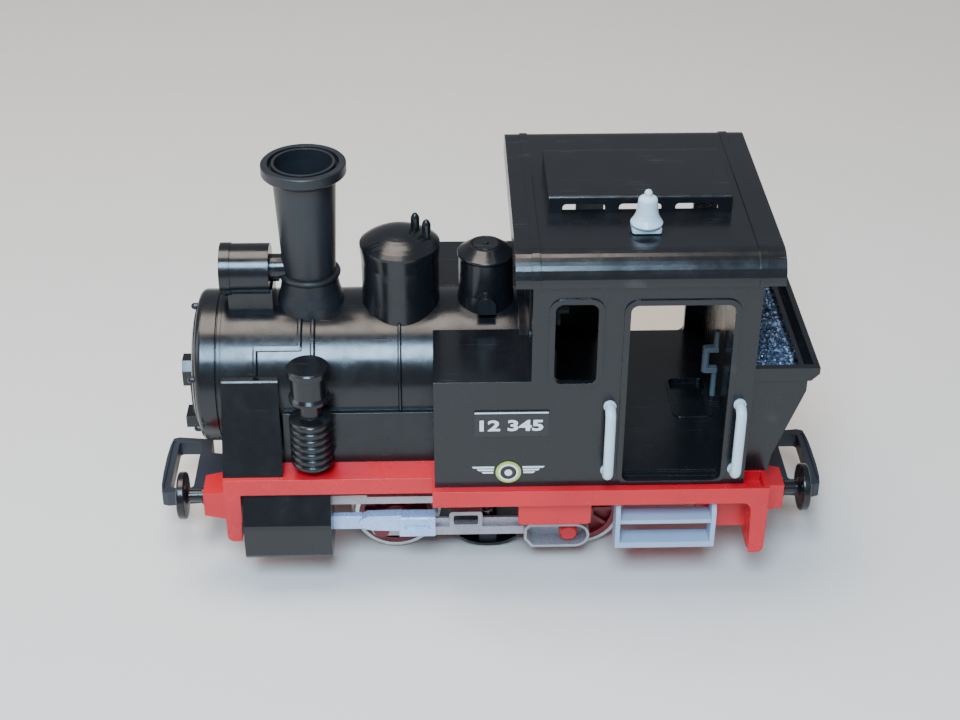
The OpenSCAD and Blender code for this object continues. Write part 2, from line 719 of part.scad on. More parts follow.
module pickup_shoe() {
    middle = pickup_x;
    half = 13;
    shoe_t = 1.1;
    z0 = flange_h - 0.4;
    union() {
        along_y(-wheel_face, -wheel_back) polygon([[middle - half, z0 + 4.4], [middle - half + 4, z0 + 1.6],
            [middle - half + 8, z0 + 0.4], [middle - half + 12, z0], [middle + half - 12, z0],
            [middle + half - 8, z0 + 0.4], [middle + half - 4, z0 + 1.6], [middle + half, z0 + 4.4],
            [middle + half, z0 + 4.4 + shoe_t], [middle + half - 4.4, z0 + 1.6 + shoe_t],
            [middle + half - 8.2, z0 + 0.4 + shoe_t], [middle + half - 12, z0 + shoe_t],
            [middle - half + 12, z0 + shoe_t], [middle - half + 8.2, z0 + 0.4 + shoe_t],
            [middle - half + 4.4, z0 + 1.6 + shoe_t], [middle - half, z0 + 4.4 + shoe_t]]);
        block(middle - 4, middle + 4, -wheel_face + 2, -wheel_back + 0.8, z0 + 0.6, pickup_top);
        block(middle - 4, middle + 4, -wheel_back - 1, -block_hw - MOVE_GAP, pickup_top - 3, pickup_top);
        // Peg inside the spring
        translate([middle, pickup_spring_y, pickup_top - CUT]) cylinder(h = 6 + CUT, r = 1.3);
    }
}

module pickup_shoe_left() color(STEEL) pickup_shoe();

module pickup_shoe_right() color(STEEL) mirror([0, 1, 0]) pickup_shoe();

module pickup_spring() translate([pickup_x, pickup_spring_y, pickup_top]) difference() {
    cylinder(h = deck_bottom - pickup_top, r = 2.4);
    translate([0, 0, -CUT]) cylinder(h = deck_bottom - pickup_top + 2 * CUT, r = 1.8);
}

module pickup_spring_left() color(STEEL) pickup_spring();

module pickup_spring_right() color(STEEL) mirror([0, 1, 0]) pickup_spring();

module ballast_weight() color([0.45, 0.46, 0.48])
    along_x(-110, -60) difference() {
        polygon([[-18, deck_z], [18, deck_z], [25, boiler_z - 2], [-25, boiler_z - 2]]);
        polygon([[-6, deck_z - CUT], [6, deck_z - CUT], [6, deck_z + 5], [-6, deck_z + 5]]);
    }

module contact_board() color([0.10, 0.35, 0.20]) {
    block(-54, -6, -18, 18, deck_z, deck_z + 1.6);
    for (x = [-48, -36, -22]) block(x, x + 7, -8, 6, deck_z + 1.6, deck_z + 4.4);
    translate([-12, 10, deck_z + 1.6]) cylinder(h = 9, r = 3.4);
}

// ---------------------------------------------------------------- boiler

module boiler_shell() color(BODY_BLACK) difference() {
    union() {
        intersection() {
            cyl_x(boiler_front, cab_front, boiler_r, 0, boiler_z);
            block(boiler_front, cab_front, -60, 60, deck_z, 200);
        }
        // Casing beside the lower half of the boiler, up to the tanks
        along_x(side_box_x1, tank_x) polygon([[-casing_bottom_hw, deck_z], [casing_bottom_hw, deck_z],
            [casing_top_hw, casing_top], [-casing_top_hw, casing_top]]);
        boiler_pipes();
    }
    cyl_x(boiler_front + wall, cab_front + CUT, boiler_r - wall, 0, boiler_z);
    along_x(side_box_x1 + wall, tank_x - wall) polygon([[-casing_bottom_hw + wall, deck_z - CUT],
        [casing_bottom_hw - wall, deck_z - CUT], [casing_top_hw - wall, casing_top - wall],
        [-casing_top_hw + wall, casing_top - wall]]);
    block(boiler_front + wall, cab_front + CUT, -20, 20, deck_z - CUT, boiler_z - 10);
    // Seat of the air pump
    air_pump_solid();
}

module smokebox_front() color(BODY_BLACK) {
    door_r = 29.5;
    bevel = 2.8;
    translate([boiler_front, 0, boiler_z]) rotate([0, -90, 0]) rotate_extrude($fn = 96)
        let (l = boiler_front - smokebox_end) polygon([[0, 0], [boiler_r, 0], [boiler_r, 1.6],
            [boiler_r - 0.7, 1.8], [boiler_r - 0.7, 2.2], [boiler_r, 2.4],
            for (p = arc(boiler_r - bevel, l - bevel, bevel, 0, 90, 6)) p,
            [door_r, l], [door_r - 0.4, l + 1], [door_r - 3, l + 1.8], [10, l + 2.4], [0, l + 2.5]]);
    front = smokebox_end - 2;
    // Door bar with its two blocks and the steps under it
    block(front - 4.6, front + 1, -3.6, 3.6, boiler_z - 30, boiler_z + 2);
    along_x(front - 7.2, front + 1)
        polygon([[-6, boiler_z - 7.4], [6, boiler_z - 7.4], [6, boiler_z], [3, boiler_z + 4],
            [-3, boiler_z + 4], [-6, boiler_z]]);
    block(front - 7.8, front + 1, -5, 5, boiler_z - 30.6, boiler_z - 25);
    block(front - 4.6, front + 1.4, -4, 4, boiler_z - 33, boiler_z - 30.6);
    // Clips round the door
    for (a = [20, 90, 160, 215, 325])
        translate([smokebox_end, (door_r + 0.8) * cos(a), boiler_z + (door_r + 0.8) * sin(a)])
            rotate([0, -90, 0]) rotate_extrude($fn = 24)
                polygon(concat([[0, -1], [1.5, -1], [1.5, 1]], arc(0, 1.6, 1.5, 0, 90, 4)));
}

module side_box() difference() {
    intersection() {
        along_x(side_box_x0, side_box_x1) polygon([[-side_box_bottom_hw, deck_z], [-26, deck_z],
            [-26, side_box_top], [-side_box_top_hw + 0.6, side_box_top],
            [-side_box_top_hw, side_box_top - 0.6]]);
        along_y(-60, -20) polygon([[side_box_x0, deck_z], [side_box_x1, deck_z],
            [side_box_x1 - 1.2, side_box_top], [side_box_x0 + 0.4, side_box_top]]);
    }
    boiler_solid();
}

module side_box_left() color(BODY_BLACK) side_box();

module side_box_right() color(BODY_BLACK) mirror([0, 1, 0]) side_box();

module chimney_base() color(BODY_BLACK) difference() {
    translate([chimney_x, 0, 0]) rotate_extrude() polygon(concat(
        [[0, boiler_z + 14], [collar_r + 1.6, boiler_z + 14], [collar_r + 1.6, boiler_top - 3],
         [collar_r + 0.9, boiler_top + 1.6], [collar_r - 0.4, boiler_top + 6],
         [collar_r - 1.3, collar_z - 2.6]],
        arc(collar_r - 1.1, collar_z - 1.3, 1.3, -90, 90, 6), [[0, collar_z]]));
    boiler_solid();
    translate([chimney_x, 0, boiler_z]) cylinder(h = 100, r = tube_r0 - 2.4);
}

module chimney_tube_solid() {
    translate([chimney_x, 0, 0]) rotate_extrude() polygon([[0, collar_z],
        [tube_r0, collar_z], [tube_r1, collar_z + tube_h],
        [chimney_rim_r - 0.6, chimney_top - rim_h], [chimney_rim_r, chimney_top - rim_h + 0.6],
        [chimney_rim_r, chimney_top - 0.5], [chimney_rim_r - 0.5, chimney_top], [0, chimney_top]]);
}

module chimney_tube() color([0.09, 0.09, 0.10]) difference() {
    chimney_tube_solid();
    translate([chimney_x, 0, 0]) rotate_extrude() polygon([[0, collar_z - CUT],
        [tube_r0 - 2.4, collar_z - CUT], [tube_r1 - 1.1, chimney_top - rim_h],
        [tube_r1 - 1.1, chimney_top + CUT], [0, chimney_top + CUT]]);
    translate([chimney_x, 0, chimney_top - 3]) difference() {
        cylinder(h = 3 + CUT, r = chimney_rim_r - 2.9);
        translate([0, 0, -CUT]) cylinder(h = 3 + 3 * CUT, r = chimney_rim_r - 4.5);
    }
}

// Places of the two safety valves on the steam dome, and their tops
valve_places = [[6.8, 2], [11.6, -1.8]];
valve_r = 1.9;
valve_floor = steam_dome_top - 5.6;
// The dome's lid is part of a ball
cap_rise = 6.2;
cap_edge_z = steam_dome_top - cap_rise;
cap_ball_r = (steam_dome_r * steam_dome_r + cap_rise * cap_rise) / (2 * cap_rise);
cap_span = asin(steam_dome_r / cap_ball_r);

module steam_dome() color(BODY_BLACK) difference() {
    translate([steam_dome_x, 0, 0]) rotate_extrude($fn = 96) polygon(concat(
        [[0, boiler_z + 14], [steam_dome_r + 0.4, boiler_z + 14], [steam_dome_r, boiler_top - 6],
         [steam_dome_r - 0.5, boiler_top + 3], [steam_dome_r - 0.6, steam_dome_top - 14],
         [steam_dome_r, cap_edge_z - 1.2]],
        [for (i = [0:8]) let (a = 90 - cap_span + cap_span * i / 8)
            [max(0, cap_ball_r * cos(a)), cap_edge_z - cap_ball_r * cos(cap_span) + cap_ball_r * sin(a)]]));
    boiler_solid();
    translate([steam_dome_x, 0, boiler_z]) cylinder(h = steam_dome_top - boiler_z - 12, r = steam_dome_r - 3);
    for (p = valve_places) translate([steam_dome_x + p[0], p[1], valve_floor])
        cylinder(h = 12, r = valve_r);
}

module safety_valves() color(BODY_BLACK) for (i = [0:1]) {
    p = valve_places[i];
    top = steam_dome_top + 6.5 - 1.3 * i;
    translate([steam_dome_x + p[0], p[1], 0]) rotate_extrude($fn = 32) polygon([[0, valve_floor],
        [valve_r, valve_floor], [valve_r, top - 2], [valve_r - 0.5, top - 0.8], [valve_r - 1.2, top], [0, top]]);
}

module sand_dome() color(BODY_BLACK) difference() {
    r_cap = 12;
    r_foot = 12.9;
    union() {
        translate([sand_dome_x, 0, 0]) rotate_extrude() polygon(concat(
            [[0, boiler_z + 14], [r_foot, boiler_z + 14], [r_foot, boiler_top - 5],
             [r_cap, boiler_top + 5], [r_cap - 0.3, sand_dome_top - 5.6]],
            arc(r_cap - 0.5, sand_dome_top - 4.4, 0.9, -60, 70, 5),
            [[r_cap - 2.4, sand_dome_top - 2], [7.4, sand_dome_top - 0.4], [6, sand_dome_top], [0, sand_dome_top]]));
        // Arched box at the foot
        along_y(-17.2, -8) polygon(concat([[sand_dome_x - 4.1, boiler_top + 0.4],
            [sand_dome_x + 4.1, boiler_top + 0.4]], arc(sand_dome_x, boiler_top + 4.2, 4.1, 0, 180, 10)));
        translate([sand_dome_x, 0, sand_dome_top - 1]) cylinder(h = 1.5, r = 1.2);
    }
    boiler_solid();
    // Ring groove on the lid
    translate([sand_dome_x, 0, sand_dome_top - 1.1]) difference() {
        cylinder(h = 3, r = 6.1);
        translate([0, 0, -CUT]) cylinder(h = 5, r = 5.7);
    }
}

module headlamp() color(BODY_BLACK) difference() {
    union() {
        cyl_x(lamp_front + 4.4, lamp_rear, lamp_r, 0, lamp_z);
        cyl_x(lamp_front, lamp_front + 4.6, lamp_rim_r, 0, lamp_z);
        // Foot on the boiler
        along_x(lamp_front + 2.9, lamp_rear + 0.9)
            polygon([[-8.9, boiler_z + 20], [8.9, boiler_z + 20], [8.1, lamp_z - 6], [-8.1, lamp_z - 6]]);
        // Pipe to the chimney
        cyl_x(lamp_rear - CUT, chimney_x, 6, 0, lamp_z + 0.6);
    }
    cyl_x(lamp_front - CUT, lamp_front + 8, lamp_bore_r, 0, lamp_z);
    translate([lamp_front + 8 - 0.01, 0, lamp_z]) rotate([0, 90, 0])
        cylinder(h = 8, r1 = lamp_bore_r - 0.6, r2 = 3.4);
    boiler_solid();
    translate([chimney_x, 0, collar_z - 16]) cylinder(h = 16, r = collar_r + 0.3);
    translate([chimney_x, 0, collar_z]) cylinder(h = tube_h, r1 = tube_r0, r2 = tube_r1);
}

module headlamp_lens() color([0.85, 0.88, 0.86]) translate([lamp_front + 2.4, 0, lamp_z])
    rotate([0, -90, 0]) rotate_extrude() polygon([[0, 0], [lamp_bore_r, 0],
        [lamp_bore_r, 1], [lamp_bore_r * 0.7, 1.6], [0, 2]]);

module lamp_bulb() color([0.95, 0.90, 0.70]) translate([lamp_front + 15.9, 0, lamp_z])
    rotate([0, -90, 0]) rotate_extrude($fn = 32)
        polygon(concat([[0, 0], [2.4, 0], [2.4, 4], [2, 4.6]], arc(0, 6.4, 2.2, -10, 90, 5)));

module air_pump_solid() translate([pump_x, -pump_y, 0]) rotate_extrude() polygon(concat(
    [[0, deck_z], [4.6, deck_z], [6.4, deck_z + 2.6], [7.4, deck_z + 4.2]],
    [for (i = [0:6], j = [0:6]) let (a = -78 + j * 26)
        [8 + 1.35 * cos(a), deck_z + 5.8 + i * 3.45 + 1.45 * sin(a)]],
    [[7, deck_z + 28.4], [4.9, deck_z + 29.2], [4.9, deck_z + 35.4], [7.6, deck_z + 36.4],
     [8.7, deck_z + 37.2], [8.7, deck_z + 38.6], [7.7, deck_z + 40], [7.6, pump_top - 3.8],
     [9, pump_top - 3.4], [9, pump_top - 0.8], [8.4, pump_top - 0.2], [5, pump_top], [0, pump_top]]));

module air_pump() color(BODY_BLACK) difference() {
    air_pump_solid();
    boiler_solid();
}

// Half round pipes moulded on the left side of the boiler
module boiler_pipes() {
    rise = 1.4;
    half = 1.05;
    turn = 47;
    difference() {
        union() {
            // Bands: below the steam dome, down to the pump, and from the chimney
            for (s = [[steam_dome_x - 0.6, 24, 94, 0.75], [pump_x + 0.6, 22, 66, half],
                    [chimney_x - 4.2, 24, turn, half]])
                boiler_band(s[0], s[1], s[2], s[3], rise);
            // Run towards the smokebox and down to the side box
            boiler_strip(-102.6, chimney_x - 4.2, turn, half, rise);
            boiler_band(-102.1, turn, 66, half, rise);
            for (x = [-102.1, chimney_x - 4.2])
                translate([x, 0, boiler_z]) rotate([turn, 0, 0]) cylinder(h = boiler_r + rise - 0.1, r = half);
        }
        cyl_x(boiler_front, cab_front, boiler_r - 0.5, 0, boiler_z);
        translate([chimney_x, 0, boiler_z]) cylinder(h = 60, r = collar_r + 1.6);
        translate([steam_dome_x, 0, boiler_z]) cylinder(h = 60, r = steam_dome_r + 0.4);
        side_box_zone();
    }
}

module side_box_zone() block(side_box_x0, side_box_x1, -60, -20, deck_z, side_box_top);

// Band on the left side of the boiler between two angles measured from the top
module boiler_band(x, a0, a1, half, rise) {
    translate([x - half, 0, boiler_z]) rotate([90, 0, 90]) rotate([0, 0, 90 + a0])
        rotate_extrude(angle = a1 - a0)
            polygon([[boiler_r - 1, 0], [boiler_r + rise * 0.7, 0], [boiler_r + rise, half * 0.6],
                [boiler_r + rise, half * 1.4], [boiler_r + rise * 0.7, half * 2], [boiler_r - 1, half * 2]]);
}

module boiler_strip(x0, x1, a, half, rise) {
    translate([0, 0, boiler_z]) rotate([a, 0, 0]) block(x0, x1, -half, half, boiler_r - 1, boiler_r + rise);
}

// ---------------------------------------------------------------- tanks and cab

// One tank, open below, moulded in one with the cab
module side_tank() difference() {
    block(tank_x, cab_front + 0.5, -body_hw, -16, deck_z, tank_z);
    boiler_solid();
    block(tank_x + wall, cab_front, -body_hw + wall, -boiler_r - wall, deck_z - CUT, tank_z - wall);
}

module side_frame(x0, z0, x1, z1, r) {
    along_y(-body_hw - frame_proud, -body_hw + 0.4) difference() {
        polygon(round_rect(x0 - frame_w, z0 - frame_w + 0.8, x1 + frame_w, z1 + frame_w, r + frame_w));
        polygon(round_rect(x0, z0, x1, z1, r));
    }
}

module cab_shell() color(BODY_BLACK) {
    corner = 3.2;
    rear_window = [18, 42, 122, cab_top - 9];
    front_window = [37, 54, 122, cab_top - 9];
    difference() {
        union() {
            block(cab_front, cab_rear, -body_hw, body_hw, deck_z, cab_top);
            both_sides() {
                side_tank();
                side_frame(door_x0, door_z0, door_x1, door_z1, corner);
                side_frame(window_x0, window_z0, window_x1, window_z1, corner);
            }
            // Collar round the boiler
            intersection() {
                cyl_x(cab_front - 3.4, cab_front + 0.5, boiler_r + 3, 0, boiler_z);
                block(cab_front - 3.4, cab_front + 0.5, -body_hw, body_hw, tank_z, 200);
            }
        }
        block(cab_front + wall, cab_rear - wall, -body_hw + wall, body_hw - wall, deck_z - CUT, cab_top + CUT);
        cyl_x(cab_front - 5, cab_front, boiler_r, 0, boiler_z);
        along_y(-body_hw - 5, body_hw + 5)
            polygon(round_rect(door_x0, door_z0, door_x1, door_z1, corner));
        along_y(-body_hw - 5, body_hw + 5)
            polygon(round_rect(window_x0, window_z0, window_x1, window_z1, corner));
        both_sides() {
            along_x(cab_rear - wall - CUT, cab_rear + CUT)
                polygon(round_rect(-rear_window[1], rear_window[2], -rear_window[0], rear_window[3], corner));
            along_x(cab_front - CUT, cab_front + wall + CUT)
                polygon(round_rect(-front_window[1], front_window[2], -front_window[0], front_window[3], corner));
        }
    }
}

module cab_floor() color([0.10, 0.10, 0.11]) difference() {
    union() {
        block(cab_front + wall, cab_rear - wall, -body_hw + wall, body_hw - wall, deck_z, floor_z);
        linear_extrude(floor_z + 0.5) polygon(round_rect(81.3, -16.2, 99.8, 16.2, 3.6));
    }
    block(0, 150, -60, 60, -CUT, deck_z);
    // Sunken well with a rounded outline and a low lip
    translate([0, 0, floor_z - 2.4]) linear_extrude(2.4 + CUT)
        polygon(round_rect(82.5, -15, 98.6, 15, 2.4));
    translate([brake_x, brake_y, floor_z - 3]) cylinder(h = 3 + CUT, r = 1.3 + run_gap);
    // Step down at the doors
    both_sides() block(door_x0 + 1, door_x1 - 1, -body_hw + wall - CUT, -body_hw + wall + 3,
        door_z0 + 0.4, floor_z + CUT);
}

module backhead() color([0.09, 0.09, 0.10]) {
    x0 = cab_front + wall;
    x1 = x0 + 9;
    top = 128;
    difference() {
        union() {
            along_x(x0, x1) polygon(concat([[-24, floor_z], [24, floor_z]],
                arc(0, top - 24, 24, 0, 180, 14)));
            // Fire door, gauges, water glass
            along_x(x1 - CUT, x1 + 2) polygon(round_rect(-9, floor_z + 6, 9, floor_z + 22, 3));
            cyl_x(x1 - CUT, x1 + 2.4, 4.4, -11, top - 14);
            cyl_x(x1 - CUT, x1 + 2.4, 4.4, 11, top - 14);
            for (y = [-16, 16]) {
                translate([x1 + 1.2, y, top - 46]) cylinder(h = 18, r = 1.3);
                for (z = [top - 44.6, top - 31.4]) cyl_x(x1 - CUT, x1 + 2, 1.6, y, z);
            }
            cyl_x(x1 - CUT, x1 + 2, 3.2, 0, top - 22);
        }
        cyl_x(x1 - 4, x1 + 4, 1.3 + run_gap, 0, top - 22);
    }
}

module regulator_lever() color(ROD_GREY) {
    face = cab_front + wall + 9;
    x0 = face + 2.6 + MOVE_GAP;
    z = 106;
    cyl_x(face - 3, x0 + 0.2, 1.3, 0, z);
    hull() {
        cyl_x(x0, x0 + 1.8, 2.2, 0, z);
        cyl_x(x0, x0 + 1.8, 1.1, 17, z - 5);
    }
    cyl_x(x0 + 1, x0 + 7, 1.5, 17, z - 5);
}

// Upright cranked handle of the hand brake
module brake_crank() color(ROD_GREY) {
    throw = 4.4;
    low = floor_z + 14;
    high = floor_z + 25;
    translate([brake_x, brake_y, 0]) {
        translate([0, 0, floor_z - 2.8]) cylinder(h = low - floor_z + 3.4, r = 1.3);
        translate([0, 0, high - 0.6]) cylinder(h = 10, r = 1.3);
        translate([-throw, 0, low - 1]) cylinder(h = high - low + 2, r = 1.7);
        for (z = [low, high]) translate([-throw, -1.6, z - 1.2]) cube([throw + 1, 3.2, 2.4]);
    }
}

module handrail(x) {
    bend = 3.4;
    y = -body_hw - rail_stand;
    translate([x, y, rail_z0 + bend]) cylinder(h = rail_z1 - rail_z0 - 2 * bend, r = rail_r);
    for (end = [[rail_z0, 1], [rail_z1, -1]])
        translate([x, y + bend, end[0] + end[1] * bend]) rotate([0, 90, 0]) rotate([0, 0, end[1] > 0 ? -90 : 180])
            rotate_extrude(angle = 90) translate([bend, 0]) circle(rail_r);
    for (z = [rail_z0, rail_z1]) {
        cyl_y(y + bend, -body_hw, rail_r, x, z);
        cyl_y(-body_hw - 1, -body_hw, rail_r + 0.4, x, z);
    }
}

module handrails() color(RAIL_WHITE) both_sides() {
    handrail(rail_front_x);
    handrail(rail_rear_x);
}

module number_plates() color([0.05, 0.05, 0.05]) both_sides()
    along_y(-body_hw - 0.7, -body_hw) polygon(round_rect(-9.3, 86.6, 22, 99.2, 0.8, 3));

module emblems() color([0.62, 0.72, 0.25]) both_sides() cyl_y(-body_hw - 0.6, -body_hw, 5.4, 5.3, 68);

module bunker_outline(inset) {
    lower = bunker_rim_z - bunker_rim_h;
    polygon([[cab_rear, deck_z + inset], [118 - inset, deck_z + inset], [119 - inset, 68],
        [bunker_end - 4.4 - inset, lower - 6], [bunker_end - 4.4 - inset, lower + inset * 2],
        [cab_rear, lower + inset * 2]]);
}

module bunker() color(BODY_BLACK) difference() {
    union() {
        along_y(-bunker_body_hw, bunker_body_hw) bunker_outline(0);
        along_y(-bunker_hw, bunker_hw) polygon([[cab_rear, bunker_rim_z - bunker_rim_h],
            [bunker_end - 3.4, bunker_rim_z - bunker_rim_h], [bunker_end, bunker_rim_z - 3],
            [bunker_end, bunker_rim_z], [cab_rear, bunker_rim_z]]);
    }
    along_y(-bunker_body_hw + wall, bunker_body_hw - wall) difference() {
        translate([wall, 0]) bunker_outline(wall);
        translate([bunker_end - 4.4 - wall, 0]) square([20, 200]);
    }
    along_y(-bunker_body_hw + wall - 1, bunker_body_hw - wall + 1)
        polygon([[cab_rear + wall, bunker_rim_z - bunker_rim_h + 2], [bunker_end - 4.6 - wall + 2.2,
            bunker_rim_z - bunker_rim_h + 2], [bunker_end - 2, bunker_rim_z + CUT],
            [cab_rear + wall, bunker_rim_z + CUT]]);
}

// Heap of coal on a block that fills the bunker
module coal_load() color([0.10, 0.11, 0.14]) {
    gap = 0.2;
    x0 = cab_rear + wall + gap;
    base = 100.6;
    top = 104;
    x1 = bunker_end - 4.4 - wall - gap;
    hw = bunker_body_hw - wall - gap;
    lump = 5.4;
    block(x0, x1, -hw, hw, base, top);
    // Rib that stands on the bunker floor
    block(cab_rear + 4, cab_rear + 8, -20, 20, deck_z + wall, base + CUT);
    for (i = [0:3], j = [0:13])
        translate([x0 + 3.6 + i * 4.4, -hw + 4 + j * (2 * hw - 8) / 13, top + (i * 5 + j * 3) % 4 * 0.7 - 0.6])
            rotate([i * 37 + j * 19, i * 23 + j * 41, j * 29])
                cube([lump, lump * 0.8, lump * 0.66], center = true);
}

// Cross section of the roof over half its width hw, edge radius r, from z0 to z1
function roof_section(hw, r, z0, z1) = concat([[-hw, z0], [hw, z0]],
    arc(hw - r, z1 - r, r, 0, 90, 9), arc(-hw + r, z1 - r, r, 90, 180, 9));

module cab_roof() color(BODY_BLACK) difference() {
    union() {
        along_x(roof_front, roof_rear) polygon(roof_section(roof_hw, roof_edge_r, roof_lip_z, roof_top));
        for (x = [roof_front + 6.6, roof_rear - 10.6])
            along_x(x, x + 3.4)
                polygon(roof_section(roof_hw + rib_h, roof_edge_r + rib_h, roof_lip_z, roof_top + rib_h));
    }
    // Space under the shell, down to the seat on the cab walls
    along_x(roof_front + roof_wall, roof_rear - roof_wall)
        polygon(roof_section(roof_hw - roof_wall, roof_edge_r - roof_wall,
            cab_top + roof_seat_gap + 2, roof_top - roof_wall));
    // Recess for the cab walls
    block(cab_front - MOVE_GAP, cab_rear + MOVE_GAP, -body_hw - MOVE_GAP, body_hw + MOVE_GAP,
        roof_lip_z - CUT, cab_top + roof_seat_gap);
    block(cab_front + 6, cab_rear - 6, -body_hw + 6, body_hw - 6, roof_lip_z, cab_top + 4);
    // Opening under the hatch
    block(hatch_x0 + 3, hatch_x1 - 3, -hatch_hw + 3, hatch_hw - 3, cab_top, roof_top + rib_h + CUT);
    // Round recess in front of the bell
    translate([bell_x - 0.8, bell_y - 5.6, roof_top - 0.5]) cylinder(h = 2, r = 6.5);
}

module roof_hatch() color(BODY_BLACK) {
    pitch = 23.2;
    length = 17.5;
    height = 3.9;
    first = hatch_x0 + 5.7;
    t = 1.8;
    difference() {
        along_x(hatch_x0, hatch_x1) polygon(concat([[-hatch_hw, roof_top], [hatch_hw, roof_top]],
            arc(hatch_hw - 1.2, roof_top + hatch_h - 1.2, 1.2, 0, 90, 4),
            arc(-hatch_hw + 1.2, roof_top + hatch_h - 1.2, 1.2, 90, 180, 4)));
        block(hatch_x0 + t, hatch_x1 - t, -hatch_hw + t, hatch_hw - t, roof_top - CUT, roof_top + hatch_h - t);
        for (i = [0:2]) along_y(-hatch_hw - 5, hatch_hw + 5)
            polygon(concat([[first + i * pitch, roof_top - CUT], [first + i * pitch + length, roof_top - CUT]],
                arc(first + i * pitch + length - 1.6, roof_top + height - 1.6, 1.6, 0, 90, 4),
                arc(first + i * pitch + 1.6, roof_top + height - 1.6, 1.6, 90, 180, 4)));
    }
}

module bell() color(RAIL_WHITE) translate([bell_x, bell_y, roof_top]) {
    base_hw = 6;
    base_front = -4.2;
    base_t = 1.6;
    linear_extrude(base_t) polygon(round_rect(-base_hw, base_front, base_hw, base_hw, 1.4, 4));
    translate([0, 0, base_t - 0.2]) rotate_extrude() polygon(concat(
        [[0, 0], [2.6, 0], [2.6, 1], [5.9, 1], [6.5, 1.4], [6.6, 2], [6.1, 2.8],
         [5.2, bell_h * 0.26], [4.6, bell_h * 0.36], [4.2, bell_h * 0.5], [4, bell_h * 0.66]],
        arc(2.1, bell_h * 0.7, 1.85, 0, 70, 4), [[1.5, bell_h * 0.84]],
        arc(0, bell_h - 1.6, 1.6, -25, 90, 7)));
}

// ---------------------------------------------------------------- steps

module cab_steps() {
    x0 = steps_x0;
    x1 = steps_x1;
    out = -63;
    in = -53;
    low = 27.7;
    high = 40;
    t = 2;
    for (x = [x0, x1 - t])
        along_x(x, x + t) polygon([[out, low], [in, low], [in, deck_bottom], [out + 3, deck_bottom],
            [out, high + 6]]);
    block(x0, x1, out, in, low, low + t);
    block(x0, x1, out + 1, in, high, high + t);
    // Raised front edges of the treads
    block(x0, x1, out, out + 1, low, low + t + 0.8);
}

module steps_left() color(STEP_GREY) cab_steps();

module steps_right() color(STEP_GREY) mirror([0, 1, 0]) cab_steps();

main_frame();
front_buffers();
rear_buffers();
front_coupler();
rear_coupler();
coupler_pins();
cylinder_left();
cylinder_right();
slide_bars();
motor_block();
block_cover();
motor_can();
armature();
pickup_shoe_left();
pickup_shoe_right();
pickup_spring_left();
pickup_spring_right();
axle_bushes();
cover_screws();
ballast_weight();
contact_board();
boiler_shell();
smokebox_front();
side_box_left();
side_box_right();
chimney_base();
chimney_tube();
steam_dome();
safety_valves();
sand_dome();
headlamp();
headlamp_lens();
lamp_bulb();
air_pump();
cab_shell();
cab_floor();
backhead();
regulator_lever();
brake_crank();
handrails();
number_plates();
emblems();
bunker();
coal_load();
cab_roof();
roof_hatch();
bell();
steps_left();
steps_right();
rod_left();
rod_right();
crosshead_left();
crosshead_right();
front_wheels();
front_tyres();
front_axle();
crank_caps();
rear_wheels();
rear_tyres();
rear_axle();
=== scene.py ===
"""Toy tank locomotive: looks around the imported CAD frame."""

import json
import math
import random

import bmesh
import bpy
from mathutils import Euler, Matrix, Vector


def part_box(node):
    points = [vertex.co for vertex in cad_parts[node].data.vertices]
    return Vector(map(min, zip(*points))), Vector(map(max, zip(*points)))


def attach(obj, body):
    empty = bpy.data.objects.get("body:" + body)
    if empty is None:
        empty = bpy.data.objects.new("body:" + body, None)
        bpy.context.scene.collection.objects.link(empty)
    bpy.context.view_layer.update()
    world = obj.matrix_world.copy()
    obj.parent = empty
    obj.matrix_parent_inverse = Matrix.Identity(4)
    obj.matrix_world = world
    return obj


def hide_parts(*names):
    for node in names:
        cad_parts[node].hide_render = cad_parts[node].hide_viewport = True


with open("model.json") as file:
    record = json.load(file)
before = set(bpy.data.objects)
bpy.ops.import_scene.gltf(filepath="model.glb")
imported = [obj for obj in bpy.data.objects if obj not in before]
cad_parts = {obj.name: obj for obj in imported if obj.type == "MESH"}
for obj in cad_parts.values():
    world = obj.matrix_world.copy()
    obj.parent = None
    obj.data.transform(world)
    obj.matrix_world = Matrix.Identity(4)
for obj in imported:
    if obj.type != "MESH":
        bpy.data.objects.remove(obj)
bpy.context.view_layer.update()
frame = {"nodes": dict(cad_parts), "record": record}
NODES = frame["nodes"]
RECORD = frame["record"]
MM = 0.001
SIDES = {"left": -1, "right": 1}


# ------------------------------------------------------------------ node helpers

